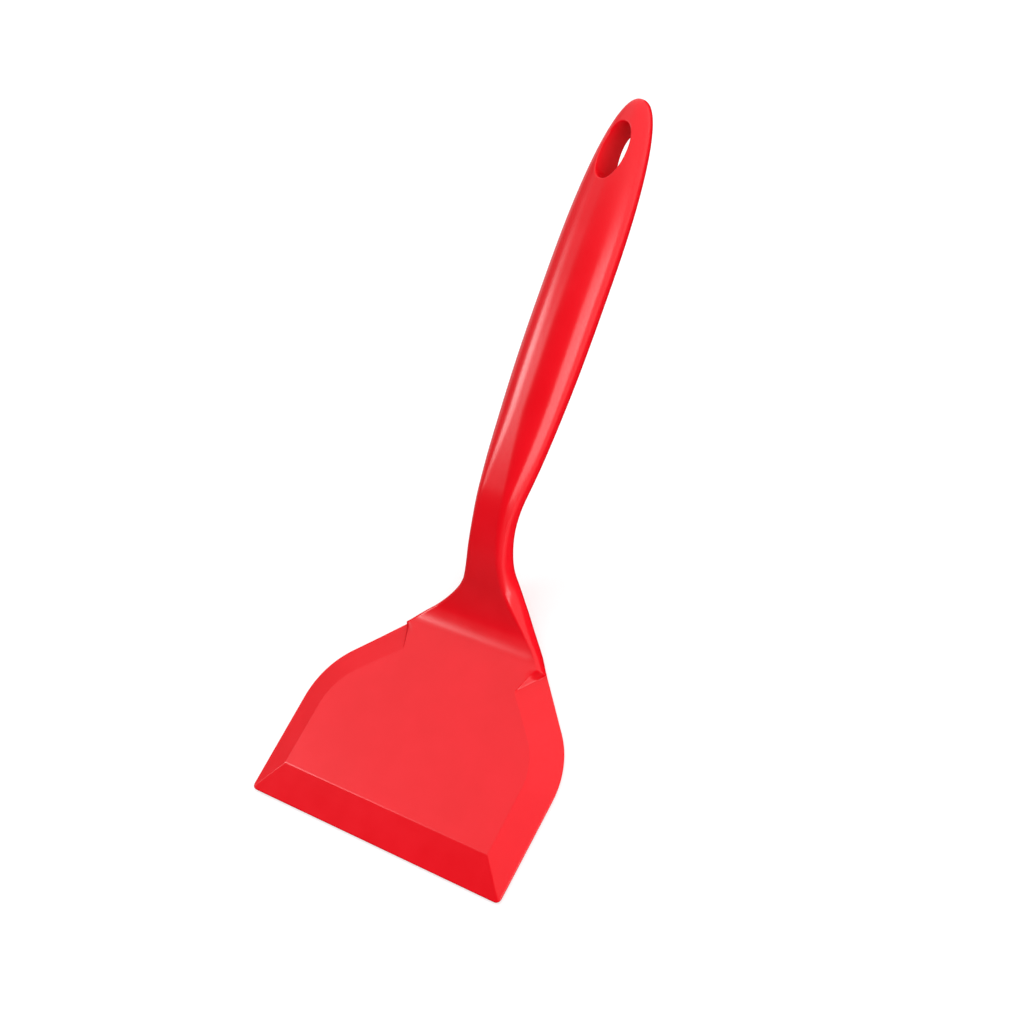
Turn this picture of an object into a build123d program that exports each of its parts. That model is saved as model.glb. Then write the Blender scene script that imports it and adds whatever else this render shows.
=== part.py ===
from build123d import *
import math
import os

# Silicone turner: a soft one-piece cover moulded over a steel core.
# Millimetres. The blade's underside lies on z = 0, the handle runs towards +Y and rises,
# and x = 0 is the plane of symmetry. Lengths along the blade are measured from its tip edge.

# Blade
blade_width = 115.0
edge_thickness = 0.95
panel_thickness = 4.3
tip_corner_radius = 2.0
side_narrowing = 0.25
shoulder_start = 50.4
shoulder_radius = 32.0

# Raised panel on top of the blade, inside the bevelled margins
tip_margin = 12.6
side_margin = 10.5
panel_narrowing = 0.35
panel_shoulder_start = 46.3
panel_shoulder_radius = 24.0
panel_edge_radius = 2.5
notch_inner_half_width = 25.6
notch_inner_y = 66.2

# Heel, where the full-thickness body starts at the notches
heel_half_width = 31.9
heel_y = 76.3
heel_top_rounding = 3.0
heel_bottom_rounding = 0.5

# Spine of the neck and handle: level, then two bends, then straight
rise_start_y = 78.8
neck_bend_radius = 24.8
neck_angle = 56.2
throat_bend_radius = 46.0
handle_angle = 15.6
handle_length = 143.5

# Half widths along the spine. Places are shares of the neck's length, then of the handle's.
neck_place_shares = (0.09, 0.18, 0.27, 0.36, 0.45, 0.54, 0.63, 0.72, 0.86)
neck_width_shares = (0.846, 0.680, 0.534, 0.416, 0.336, 0.289, 0.270, 0.262, 0.270)
handle_place_shares = (0.041, 0.162, 0.325)
handle_width_shares = (0.808, 0.918, 0.990)
grip_half_width = 12.62
grip_place_share = 0.528
thickness_share = 0.60
grip_thickness_share = 0.67
thickening_share = 0.72
underside_rise_share = 0.08
flat_share = 0.12
neck_ridge_rounding = 3.2
ridge_fade_start_share = 0.5
ridge_fade_end_share = 1.5
tail_fullness = 2.3
tail_depth_fullness = 2.7
# Cross-sections: how many up to the grip, how closely they crowd at the heel, and those of the tail
neck_steps = 24
heel_crowding = 1.6
tail_angles = (0, 14, 26, 38, 49, 59, 68, 75, 81, 85.5, 88.7)

# Hanging hole through the handle
hole_half_length = 10.8
hole_half_width = 5.2
hole_from_tail = 21.0
hole_fullness_share = 0.6
hole_rim_radius = 0.55

# Steel plate inside the panel
plate_thickness = 0.8
plate_underside = 1.1
plate_inset = 3.2
plate_corner_radius = 4.0
keying_hole_radius = 2.6
keying_row_places = (8.0, 19.0)
keying_row_counts = (7, 6)
keying_pitch = 11.5
keying_column_places = (30.0, 40.0)
keying_column_half_spread = 29.0

# Steel bar inside the handle, with a flat tang on the plate
tang_thickness = 1.2
tang_half_width = 11.0
tang_start_y = 40.0
tang_corner_radius = 3.0
bar_thickness = 4.0
bar_half_width = 5.0
bar_end_share = 0.66
bar_corner_share = 0.2
bar_slot_half_width = 2.0
bar_slot_length = 14.0
bar_slot_place_shares = (0.16, 0.34, 0.52)
bar_steps = 16

# Rivets that hold the tang to the plate
rivet_radius = 1.6
rivet_head_radius = 3.0
rivet_head_height = 0.5
rivet_row_y = 48.0
rivet_rear_y = 62.0
rivet_half_spread = 6.5

# A control handle of this share of a quarter's radius bends a cubic curve into a round quarter
quarter_share = 0.5523
# Cutters reach this much in all through thin steel
overrun = 5.0


def rounded_quarter(start, end, fullness):
    """A quarter of an oval from a side point, where it is upright, to a top point, where it is level."""
    side_x, side_y = start
    top_x, top_y = end
    low = (side_x, side_y + fullness * (top_y - side_y))
    high = (top_x + fullness * (side_x - top_x), top_y)
    return Bezier(start, low, high, end)


def body_section(half_width, rise, drop, top_flat, bottom_flat):
    """A closed cross-section with a flat top and bottom, joined by oval corners at its widest line."""
    corners = [
        rounded_quarter((half_width, 0), (top_flat, rise), quarter_share),
        Line((top_flat, rise), (-top_flat, rise)),
        rounded_quarter((-half_width, 0), (-top_flat, rise), quarter_share),
        rounded_quarter((-half_width, 0), (-bottom_flat, -drop), quarter_share),
        Line((-bottom_flat, -drop), (bottom_flat, -drop)),
        rounded_quarter((half_width, 0), (bottom_flat, -drop), quarter_share),
    ]
    return make_face(corners)


def smooth_step(share):
    """Rises from 0 to 1 with a level start and end."""
    held = min(max(share, 0), 1)
    return held * held * (3 - 2 * held)


def spine_wire():
    """The line through the widest points of every cross-section, in the plane of symmetry."""
    with BuildLine(Plane.YZ) as line:
        lead = Line((heel_y, edge_thickness), (rise_start_y, edge_thickness))
        bend = JernArc(lead @ 1, lead % 1, neck_bend_radius, neck_angle)
        throat = JernArc(bend @ 1, bend % 1, throat_bend_radius, handle_angle - neck_angle)
        PolarLine(throat @ 1, handle_length, handle_angle)
    return line.wire()


spine = spine_wire()
neck_length = spine.length - handle_length
grip_place = neck_length + grip_place_share * handle_length
tail_length = spine.length - grip_place


def spine_plane(place):
    """The plane of a cross-section: x across the handle, y up out of its top."""
    spot = spine.position_at(place, PositionMode.LENGTH)
    along = spine.tangent_at(place, PositionMode.LENGTH)
    return Plane(origin=spot, x_dir=(1, 0, 0), z_dir=-along)


def body_thickening(place, start_share=0):
    """0 in the thin heel, 1 where the neck has its full thickness."""
    share = place / neck_length
    return smooth_step((share - start_share) / (thickening_share - start_share))


def ridge_fading(place):
    """0 where the neck's flat front has its ridges, 1 where the handle is oval."""
    share = place / neck_length
    return smooth_step((share - ridge_fade_start_share) / (ridge_fade_end_share - ridge_fade_start_share))


def tail_closing(place, fullness):
    """1 up to the widest point of the grip, then down to 0 at the tail's end."""
    share = max(place - grip_place, 0) / tail_length
    return (1 - share**fullness) ** (1 / fullness)


def half_thickness(place, half_width):
    """Half the body's thickness: a share of its half width, and fuller than it in the tail."""
    along_handle = smooth_step((place - neck_length) / (grip_place - neck_length))
    share = thickness_share + (grip_thickness_share - thickness_share) * along_handle
    if place > grip_place:
        return share * grip_half_width * tail_closing(place, tail_depth_fullness)
    return share * half_width


def body_at(place, half_width):
    """The cover's cross-section at a place along the spine."""
    grown = body_thickening(place)
    thin = 1 - grown
    full = half_thickness(place, half_width)
    rise = thin * (panel_thickness - edge_thickness) + grown * full
    grown_below = body_thickening(place, underside_rise_share)
    drop = (1 - grown_below) * edge_thickness + grown_below * full
    oval_flat = flat_share * half_width
    bottom_flat = thin * (half_width - heel_bottom_rounding) + grown * oval_flat
    ridge_rounding = heel_top_rounding + grown * (neck_ridge_rounding - heel_top_rounding)
    faded = ridge_fading(place)
    top_flat = (1 - faded) * (half_width - ridge_rounding) + faded * oval_flat
    return spine_plane(place) * body_section(half_width, rise, drop, top_flat, bottom_flat)


def width_line():
    """Half width against place, from the heel to the widest point of the grip."""
    neck = [
        (place * neck_length, width * heel_half_width)
        for place, width in zip(neck_place_shares, neck_width_shares)
    ]
    handle = [
        (neck_length + place * handle_length, width * grip_half_width)
        for place, width in zip(handle_place_shares, handle_width_shares)
    ]
    ends = [(0, heel_half_width), (grip_place, grip_half_width)]
    return Spline(ends[0], *neck, *handle, ends[1], tangents=((1, -1), (1, 0)))


def tail_half_width(angle):
    """Place and half width on the closing curve from the grip to the tail's rounded end."""
    place = grip_place + math.sin(math.radians(angle)) * tail_length
    return place, grip_half_width * tail_closing(place, tail_fullness)


def neck_and_handle():
    """The cover's body from the heel to the tail, lofted through its cross-sections."""
    widths = width_line()
    sections = []
    for step in range(neck_steps):
        spot = widths @ ((step / neck_steps) ** heel_crowding)
        sections.append(body_at(spot.X, spot.Y))
    for angle in tail_angles:
        place, half_width = tail_half_width(angle)
        sections.append(body_at(place, half_width))
    return loft(sections)


def mirrored_outline(points, radii):
    """A closed outline, its right half given from the tip, rounded where a radius is given."""
    left = [(-x, y) for x, y in reversed(points)]
    outline = make_face(Polyline(*points, *left, close=True))
    for (x, y), radius in zip(points, radii):
        if radius > 0:
            corners = [v for v in outline.vertices() if math.dist((abs(v.X), v.Y), (x, y)) < edge_thickness]
            outline = fillet(corners, radius)
    return outline


def blade_outline():
    half = blade_width / 2
    points = [(half, 0), (half - side_narrowing, shoulder_start), (heel_half_width, heel_y)]
    return mirrored_outline(points, (0, shoulder_radius, 0))


def panel_outline():
    half = blade_width / 2 - side_margin
    points = [
        (half, tip_margin),
        (half - panel_narrowing, panel_shoulder_start),
        (notch_inner_half_width, notch_inner_y),
    ]
    return mirrored_outline(points, (0, panel_shoulder_radius, 0))


def riser_plane(side):
    """The slanted notch face, from the panel's rear corner out to the blade's edge."""
    inner = Vector(side * notch_inner_half_width, notch_inner_y, panel_thickness)
    top = Vector(side * (heel_half_width - heel_top_rounding), heel_y, panel_thickness)
    outer = Vector(side * heel_half_width, heel_y, edge_thickness)
    outward = (outer - inner).cross(top - inner) * side
    return Plane(origin=inner, x_dir=top - inner, z_dir=outward)


def blade():
    """The flat blade: a thin edge all round, bevels up to the panel, and the notched shoulders."""
    outline = blade_outline()
    lower = Pos(0, 0, edge_thickness) * outline
    upper = Pos(0, 0, panel_thickness) * panel_outline()
    slab = extrude(outline, edge_thickness) + loft([lower, upper], ruled=True)
    for side in (1, -1):
        square = Rectangle(tip_corner_radius, tip_corner_radius, align=(Align.MAX, Align.MIN))
        corner = Pos(blade_width / 2, 0) * square
        corner -= Pos(blade_width / 2 - tip_corner_radius, tip_corner_radius) * Circle(tip_corner_radius)
        cutter = extrude(corner, panel_thickness)
        slab -= cutter if side > 0 else mirror(cutter, Plane.YZ)
    panel_top = slab.faces().sort_by(Axis.Z)[-1]
    return fillet(panel_top.edges().sort_by(Axis.Y)[:-1], panel_edge_radius)


def shoulders():
    """The heel's full-thickness body, carried forward and cut by the two notch faces."""
    forward = heel_y - notch_inner_y
    rear = body_at(0, heel_half_width)
    wide = heel_half_width + forward
    front_plane = spine_plane(0).offset(forward)
    front_section = body_section(
        wide,
        panel_thickness - edge_thickness,
        edge_thickness,
        wide - heel_top_rounding,
        wide - heel_bottom_rounding,
    )
    body = loft([front_plane * front_section, rear], ruled=True)
    for side in (1, -1):
        body = split(body, bisect_by=riser_plane(side), keep=Keep.BOTTOM)
    return body & extrude(blade_outline(), panel_thickness)


def hanging_hole():
    """The oval cutter, square to the handle's top."""
    place = spine.length - hole_from_tail
    start = (hole_half_width, 0)
    end = (0, hole_half_length)
    quarter = rounded_quarter(start, end, hole_fullness_share)
    half = [quarter, mirror(quarter, Plane.YZ)]
    oval = make_face([*half, *[mirror(edge, Plane.XZ) for edge in half]])
    spot = spine_plane(place)
    across = Plane(origin=spot.origin, x_dir=(1, 0, 0), z_dir=spot.y_dir)
    return extrude(across * oval, grip_half_width, both=True)


def hole_rims(body):
    """The two curved rims that the hanging hole leaves in the handle's skin."""
    centre = spine_plane(spine.length - hole_from_tail).origin
    reach = hole_half_length + hole_half_width / 2
    curved = body.edges().filter_by(GeomType.BSPLINE)
    return curved.filter_by(lambda edge: (edge.center() - centre).length < reach)


def core_plane(place):
    """The middle of the steel bar at a place along the spine: on the plate at first, then centred."""
    height = plate_underside + plate_thickness + tang_thickness / 2 - edge_thickness
    plane = spine_plane(place)
    return Plane(
        origin=plane.origin + plane.y_dir * height * (1 - body_thickening(place)),
        x_dir=(1, 0, 0),
        z_dir=plane.z_dir,
    )


def bar_section(half_width, thickness):
    return RectangleRounded(2 * half_width, thickness, bar_corner_share * thickness)


def handle_core():
    """The formed bar: a riveted tang, a bent and tapered neck and a straight slotted handle."""
    bar_length = neck_length + bar_end_share * handle_length
    tang_z = plate_underside + plate_thickness
    tang_length = heel_y - tang_start_y
    tang = Pos(0, tang_start_y + tang_length / 2, tang_z) * extrude(
        Rectangle(2 * tang_half_width, tang_length), tang_thickness
    )
    tang = fillet(tang.edges().filter_by(Axis.Z).group_by(Axis.Y)[0], tang_corner_radius)
    sections = []
    for step in range(bar_steps + 1):
        place = bar_length * step / bar_steps
        grown = body_thickening(place)
        half_width = tang_half_width + grown * (bar_half_width - tang_half_width)
        thickness = tang_thickness + grown * (bar_thickness - tang_thickness)
        sections.append(core_plane(place) * bar_section(half_width, thickness))
    bar = tang + loft(sections)
    for share in bar_slot_place_shares:
        plane = spine_plane(neck_length + share * handle_length)
        across = Plane(origin=plane.origin, x_dir=plane.z_dir, z_dir=plane.y_dir)
        slot = SlotOverall(bar_slot_length, 2 * bar_slot_half_width)
        bar -= extrude(across * slot, bar_thickness, both=True)
    for x, y in rivet_spots():
        bar -= Pos(x, y, tang_z) * Cylinder(rivet_radius, overrun)
    return bar


def rivet_spots():
    return [(rivet_half_spread, rivet_row_y), (-rivet_half_spread, rivet_row_y), (0, rivet_rear_y)]


def keying_spots():
    """Rows near the tip edge and columns beside the tang, measured from the plate's front edge."""
    front = tip_margin + plate_inset
    spots = []
    for place, count in zip(keying_row_places, keying_row_counts):
        for index in range(count):
            spots.append(((index - (count - 1) / 2) * keying_pitch, front + place))
    for place in keying_column_places:
        spots += [(side * keying_column_half_spread, front + place) for side in (1, -1)]
    return spots


def blade_plate():
    """The stamped plate: the panel's outline set inwards, with keying holes for the silicone."""
    outline = offset(panel_outline(), -plate_inset)
    outline = fillet(outline.vertices().group_by(Axis.Y)[0], plate_corner_radius)
    plate = Pos(0, 0, plate_underside) * extrude(outline, plate_thickness)
    for x, y in keying_spots():
        plate -= Pos(x, y, plate_underside) * Cylinder(keying_hole_radius, overrun)
    for x, y in rivet_spots():
        plate -= Pos(x, y, plate_underside) * Cylinder(rivet_radius, overrun)
    return plate


def core_rivets():
    """Each rivet has a shank through both steels and a low head on either side."""
    grip = plate_thickness + tang_thickness
    bottom = plate_underside
    rivets = []
    for x, y in rivet_spots():
        shank = Pos(x, y, bottom + grip / 2) * Cylinder(rivet_radius, grip)
        lower = Pos(x, y, bottom - rivet_head_height / 2) * Cylinder(rivet_head_radius, rivet_head_height)
        upper = Pos(x, y, bottom + grip + rivet_head_height / 2) * Cylinder(rivet_head_radius, rivet_head_height)
        rivets.append(shank + lower + upper)
    return rivets


def silicone_cover(steels):
    """The whole red skin: blade, shoulders, neck and handle, less the hole and the steel inside."""
    cover = blade() + shoulders() + neck_and_handle() - hanging_hole()
    cover = fillet(hole_rims(cover), hole_rim_radius)
    for steel in steels:
        cover -= steel
    return cover


plate = blade_plate()
bar = handle_core()
rivets = core_rivets()
cover = silicone_cover([plate, bar, *rivets])

# The origin is under the middle of the whole object, on the surface that the blade lies on
box = cover.bounding_box()
home = Pos(0, -(box.min.Y + box.max.Y) / 2, 0)
nodes = {
    "silicone_cover": home * cover,
    "blade_plate": home * plate,
    "handle_core": home * bar,
    "core_rivets": Compound(children=[home * rivet for rivet in rivets]),
}

os.makedirs("parts", exist_ok=True)
for name, shape in nodes.items():
    export_step(shape, f"parts/{name}.step")
    print(name, round(shape.volume, 1), shape.bounding_box())
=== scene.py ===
import math

import bmesh
import bpy
import numpy as np
from bpy.props import FloatProperty, FloatVectorProperty, PointerProperty
from mathutils import Matrix, Vector


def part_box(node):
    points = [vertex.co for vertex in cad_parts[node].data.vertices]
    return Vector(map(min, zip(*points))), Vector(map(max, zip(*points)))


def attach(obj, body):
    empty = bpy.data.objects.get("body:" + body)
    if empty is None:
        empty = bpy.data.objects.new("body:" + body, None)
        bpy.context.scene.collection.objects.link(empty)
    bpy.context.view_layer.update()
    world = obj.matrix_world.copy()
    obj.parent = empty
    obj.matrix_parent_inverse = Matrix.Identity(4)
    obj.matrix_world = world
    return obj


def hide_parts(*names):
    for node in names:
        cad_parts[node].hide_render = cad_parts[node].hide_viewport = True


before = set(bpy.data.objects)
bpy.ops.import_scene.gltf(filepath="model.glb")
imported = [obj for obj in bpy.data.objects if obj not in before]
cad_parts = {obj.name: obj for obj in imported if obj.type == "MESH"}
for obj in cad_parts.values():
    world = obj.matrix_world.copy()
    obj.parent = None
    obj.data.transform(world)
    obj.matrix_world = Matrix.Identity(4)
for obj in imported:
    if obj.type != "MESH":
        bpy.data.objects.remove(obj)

bl_info = {
    "name": "Silicone turner",
    "version": (1, 0, 0),
    "blender": (4, 5, 0),
    "location": "3D View > Sidebar > Turner",
    "description": "Builds the red silicone turner's skin, its steel core and a pale studio around it",
    "category": "Add Mesh",
}

# Metres throughout. Lengths along the blade are measured from its tip edge:
# y = 0 at the tip edge, z = 0 under the blade. The finished mesh is moved to the frame's origin.
MM = 0.001
TIP_EDGE_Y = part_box("silicone_cover")[0].y

# Blade outline and its raised panel
BLADE_WIDTH = 115.0 * MM
EDGE_THICKNESS = 0.95 * MM
PANEL_THICKNESS = 4.3 * MM
TIP_CORNER_RADIUS = 2.0 * MM
SIDE_NARROWING = 0.25 * MM
SHOULDER_START = 50.4 * MM
SHOULDER_RADIUS = 32.0 * MM
TIP_MARGIN = 12.6 * MM
SIDE_MARGIN = 10.5 * MM
PANEL_NARROWING = 0.35 * MM
PANEL_SHOULDER_START = 46.3 * MM
PANEL_SHOULDER_RADIUS = 24.0 * MM
NOTCH_X = 25.6 * MM
NOTCH_Y = 66.2 * MM
HEEL_X = 31.9 * MM
HEEL_Y = 76.3 * MM
HEEL_TOP_ROUNDING = 3.0 * MM
HEEL_BOTTOM_ROUNDING = 0.5 * MM

# Spine of the neck and handle: level, then two bends, then straight
RISE_START_Y = 78.8 * MM
NECK_BEND_RADIUS = 24.8 * MM
NECK_ANGLE = math.radians(56.2)
THROAT_BEND_RADIUS = 46.0 * MM
HANDLE_ANGLE = math.radians(15.6)
HANDLE_LENGTH = 143.5 * MM
LEAD_LENGTH = RISE_START_Y - HEEL_Y
BEND_LENGTH = NECK_BEND_RADIUS * NECK_ANGLE
NECK_LENGTH = LEAD_LENGTH + BEND_LENGTH + THROAT_BEND_RADIUS * (NECK_ANGLE - HANDLE_ANGLE)
SPINE_LENGTH = NECK_LENGTH + HANDLE_LENGTH

# Half widths along the spine, as shares of the heel's, then of the grip's
NECK_PLACES = (0.09, 0.18, 0.27, 0.36, 0.45, 0.54, 0.63, 0.72, 0.86)
NECK_WIDTHS = (0.846, 0.680, 0.534, 0.416, 0.336, 0.289, 0.270, 0.262, 0.270)
HANDLE_PLACES = (0.041, 0.162, 0.325)
HANDLE_WIDTHS = (0.808, 0.918, 0.99)
GRIP_HALF_WIDTH = 12.62 * MM
GRIP_PLACE = NECK_LENGTH + 0.528 * HANDLE_LENGTH
TAIL_LENGTH = SPINE_LENGTH - GRIP_PLACE
TAIL_FULLNESS = 2.3
TAIL_DEPTH_FULLNESS = 2.7
THICKNESS_SHARE = 0.60
GRIP_THICKNESS_SHARE = 0.67
THICKENING_SHARE = 0.72
UNDERSIDE_RISE_SHARE = 0.08
FLAT_SHARE = 0.12
RIDGE_FADE_SHARE = 0.5
QUARTER_SHARE = 0.5523

# The neck's upper ridge, and the hollow above the heel that opens slowly and is made up for further on
NECK_RIDGE_ROUNDING = 2.4 * MM
NECK_RIDGE_START = 8.0 * MM
HOLLOW_RADIUS = 62.0 * MM
HOLLOW_END = 12.0 * MM
HOLLOW_BLEND = 4.0 * MM
HOLLOW_FADE = 14.0 * MM
HOLLOW_STEPS = 60

# Hanging hole
HOLE_HALF_LENGTH = 10.8 * MM
HOLE_HALF_WIDTH = 5.2 * MM
HOLE_PLACE = SPINE_LENGTH - 21.0 * MM
HOLE_FULLNESS = 0.6
HOLE_BLOCK_REACH = 2.2
HOLE_BLOCK_SIDE = 0.42
HOLE_RING_REACH = 1.5
HOLE_RING_SHARES = (0.33, 0.66, 1)
HOLE_RIM_SHARES = (1.0, 0.82, 0.62, 0.44, 0.29, 0.16, 0.07, 0.02, 0)
HOLE_WALL_STEPS = 7

# Rivets through the tang and the plate, from the plate's underside up
PLATE_UNDERSIDE = 1.1 * MM
RIVET_GRIP = 2.0 * MM
RIVET_SPOTS = (Vector((6.5, 48.0)) * MM, Vector((-6.5, 48.0)) * MM, Vector((0.0, 62.0)) * MM)
HEAD_CHAMFER_SHARE = 0.4
HEAD_TOP_SHARE = 0.86
RIVET_SIDES = 40
WELD_DISTANCE = 0.001 * MM
SHARP_ANGLE = math.radians(30)

# Small roundings that a mould leaves
TOP_EDGE_ROUNDING = 0.25 * MM
LEAST_ROUNDING = 0.001 * MM
RISER_SOFTENING = 0.25 * MM
LEAST_BEVEL = SIDE_MARGIN / 4
NOTCH_SOFTENING = 0.22 * MM
NOTCH_FADE = 3.0 * MM
HEEL_SWELL = 3.2 * MM

# How finely the blade is divided: points from the edge inwards, and steps across each band
EDGE_OFFSETS = np.array((0, 0.03, 0.1, 0.25, 0.5)) * MM
EDGE_ROOM = 1.0 * MM
MARGIN_STEPS = 5
BAND_STEPS = 12
PANEL_STEPS = 10
RIDGE_REACH = 0.9 * MM
SIDE_COUNT = len(EDGE_OFFSETS) - 1 + MARGIN_STEPS

# Rows along the blade: places from the tip edge, places ahead of the heel, and counts of the runs between
TIP_ROWS = np.array((0, 0.03, 0.1, 0.25, 0.5, 0.9, 1.4, 2.0)) * MM
HEEL_ROWS = np.array((1.1, 0.8, 0.5, 0.25, 0.1)) * MM
BEVEL_RUN_START = 3.2 * MM
FRONT_RUN_END = 30 * MM
REAR_RUN_START = 31.5 * MM
NOTCH_RUN_END = HEEL_Y - 1.5 * MM
BEVEL_ROWS = 7
RIDGE_ROWS = 13
FRONT_ROWS = 9
REAR_ROWS = 32
NOTCH_ROWS = 15

# Sections along the neck and handle, and how finely a section and the hole are sampled
NECK_SECTIONS = 56
NECK_CROWDING = 1.25
HANDLE_SECTIONS = 48
TAIL_SECTIONS = 64
TAIL_LAST_TURN = 89.2
EVEN_SPREAD_PLACE = 22 * MM
CONTOUR_STEPS = 120
FLAT_STEPS = 40
PROFILE_STEPS = 400
HOLE_POINTS = 200

# The camera, from the outline's fit to the photograph: its place from the tip edge, and its axes
CAMERA_FROM_TIP = Vector((421.84, -57.91, 564.48)) * MM
CAMERA_RIGHT = Vector((0.76612, 0.46959, -0.43881))
CAMERA_UP = Vector((-0.24833, 0.84601, 0.47180))
CAMERA_BACK = Vector((0.59279, -0.25249, 0.76475))
FOCAL_PIXELS = 2050
PHOTO_PIXELS = 1024
SENSOR_WIDTH = 36.0
HALF_PIXEL = 0.5 / PHOTO_PIXELS
CLIP_START = 0.01
CLIP_END = 20

# The softboxes: direction from the object, direction of their long side, distance, and size
LEFT_SOFTBOX = ((-0.739, -0.112, 0.664), (0.14, 0.96, 0.25), 2.4, (0.79, 0.38))
RIGHT_SOFTBOX = ((0.912, -0.050, 0.407), (-0.11, 0.94, 0.35), 1.6, (1.42, 0.62))

# The room is bright behind the object and dim in front of it. Each band is where a part of a ray's
# direction takes the change: its backward part, its left part and its upward part
WALL_BAND = (-0.15, 0.17)
WALL_END_BAND = (0.62, 0.95)
WALL_END_DIMMING = 0.8
FRONT_GLOW_BAND = (0.1, 0.65)

# The floor. In gloss it is painted dark: painted shade close beside the object, and a painted dark
# reflection in front of it and partly to its left: the changes, in metres
FLOOR_HALF_SIZE = 3.0
FLOOR_DROP = 0.2 * MM
FLOOR_SHOWN = 0.48
FLOOR_DEPTH_BAND = (-0.35, 0.10)
FLOOR_SIDE_BAND = (0.05, 0.09)
FLOOR_LEFT_SHARE = 0.5

# The silicone: scales and shares of its slow and small clouds, and how far they change its sheen
SILICONE_IOR = 1.45
SLOW_SCALE = 28.0
CLOUD_SCALE = 110.0
SLOW_SHARE = 0.6
CLOUD_SHARE = 0.4
CLOUD_BAND = (0.3, 0.7)
CLOUD_SHEEN = 0.06
GRAIN_SHEEN = 0.05
BUMP_DISTANCE = 0.1 * MM

# The steel: its brush lines along each piece, its marks, and how far they change its sheen
PLATE_BRUSH = Vector((3000, 60, 3000))
BAR_BRUSH = Vector((2500, 40, 2500))
RIVET_BRUSH = Vector((900, 900, 900))
PLATE_ROUGHNESS = 0.34
BAR_ROUGHNESS = 0.42
RIVET_ROUGHNESS = 0.3
DARK_STEEL_SHARE = 0.86
MARK_SCALE = 60.0
LINE_SHARE = 0.7
MARK_SHARE = 0.3
BRUSH_BAND = (0.25, 0.75)
LINE_SHEEN = 0.18
MARK_SHEEN = 0.08
LINE_DEPTH = 0.15


class Socket:
    """A shader value with operators: each one adds its Math or Vector Math node."""

    def __init__(self, tree, out):
        self.tree = tree
        self.out = out

    def node(self, kind, settings=None, output=0, **inputs):
        """Adds a node of a type with its settings, then its sockets' values or links. Returns an output."""
        made = self.tree.nodes.new(kind)
        for name, value in (settings or {}).items():
            setattr(made, name, value)
        for name, value in inputs.items():
            key = int(name[1:]) if name[0] == "_" else name.replace("_", " ")
            link(self.tree, made.inputs[key], value)
        return Socket(self.tree, made.outputs[output] if made.outputs else None)

    def maths(self, operation, *values):
        places = {f"_{i}": value for i, value in enumerate(values)}
        return self.node("ShaderNodeMath", {"operation": operation}, **places)

    def __add__(self, other):
        return self.maths("ADD", self, other)

    def __sub__(self, other):
        return self.maths("SUBTRACT", self, other)

    def __mul__(self, other):
        return self.maths("MULTIPLY", self, other)

    def __truediv__(self, other):
        return self.maths("DIVIDE", self, other)

    def __rsub__(self, other):
        return self.maths("SUBTRACT", other, self)

    __radd__ = __add__
    __rmul__ = __mul__

    def larger(self, other):
        return self.maths("MAXIMUM", self, other)

    def held(self, low=0.0, high=1.0):
        """This value moved from low..high to 0..1 and kept inside."""
        settings = {"interpolation_type": "SMOOTHSTEP"}
        return self.node("ShaderNodeMapRange", settings, Value=self, From_Min=low, From_Max=high)

    def mix(self, first, second):
        """A colour between two, with this value as the share of the second."""
        settings = {"data_type": "RGBA"}
        return self.node("ShaderNodeMix", settings, 2, _0=self, _6=first, _7=second)

    def part(self, index):
        return self.node("ShaderNodeSeparateXYZ", output=index, Vector=self)

    def scaled(self, scale):
        settings = {"operation": "MULTIPLY"}
        return self.node("ShaderNodeVectorMath", settings, _0=self, _1=scale)

    def noise(self, scale, detail=2.0):
        return self.node("ShaderNodeTexNoise", Vector=self, Scale=scale, Detail=detail)


def link(tree, target, value):
    """Joins a value to a socket: a link from another socket, or a plain number or colour."""
    if isinstance(value, Socket):
        tree.links.new(value.out, target)
    elif value is not None:
        target.default_value = value


def colour(value):
    """A colour with the full alpha that a shader socket asks for."""
    return (*value, 1.0)


def new_material(name):
    """A new material with an emptied tree, and the object's own coordinates in it."""
    material = bpy.data.materials.new(name)
    material.use_nodes = True
    tree = material.node_tree
    tree.nodes.clear()
    start = Socket(tree, None)
    place = start.node("ShaderNodeTexCoord", output="Object")
    return material, place


def finish_material(material, place, base, roughness, height, bump_strength, **constants):
    """Joins colour, roughness and height to one shader. The other values are the same all over."""
    normal = place.node("ShaderNodeBump", Strength=bump_strength, Distance=BUMP_DISTANCE, Height=height)
    shader = place.node(
        "ShaderNodeBsdfPrincipled", Base_Color=base, Roughness=roughness, Normal=normal, **constants
    )
    place.node("ShaderNodeOutputMaterial", Surface=shader)
    return material


def red_silicone(settings):
    """Satin moulded silicone: even colour, a faint mould grain and slow changes of sheen."""
    material, place = new_material("red_silicone")
    slow = place.noise(SLOW_SCALE)
    cloud = place.noise(CLOUD_SCALE, 3.0)
    grain = place.noise(settings.grain_scale)
    clouds = (slow * SLOW_SHARE + cloud * CLOUD_SHARE).held(*CLOUD_BAND)
    base = clouds.mix(colour(settings.deep_colour), colour(settings.colour))
    roughness = settings.roughness + (cloud - 0.5) * CLOUD_SHEEN + (grain - 0.5) * GRAIN_SHEEN
    return finish_material(material, place, base, roughness, grain, settings.grain_depth, IOR=SILICONE_IOR)


def brushed_steel(name, tone, roughness, stretch):
    """Steel with fine brush lines along one direction, and faint marks across them."""
    material, place = new_material(name)
    lines = place.scaled(stretch).noise(1.0, 4.0)
    marks = place.noise(MARK_SCALE, 3.0)
    share = (lines * LINE_SHARE + marks * MARK_SHARE).held(*BRUSH_BAND)
    dark = colour([DARK_STEEL_SHARE * part for part in tone])
    base = share.mix(dark, colour(tone))
    rough = roughness + (lines - 0.5) * LINE_SHEEN + (marks - 0.5) * MARK_SHEEN
    return finish_material(material, place, base, rough, lines, LINE_DEPTH, Metallic=1.0)


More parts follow.
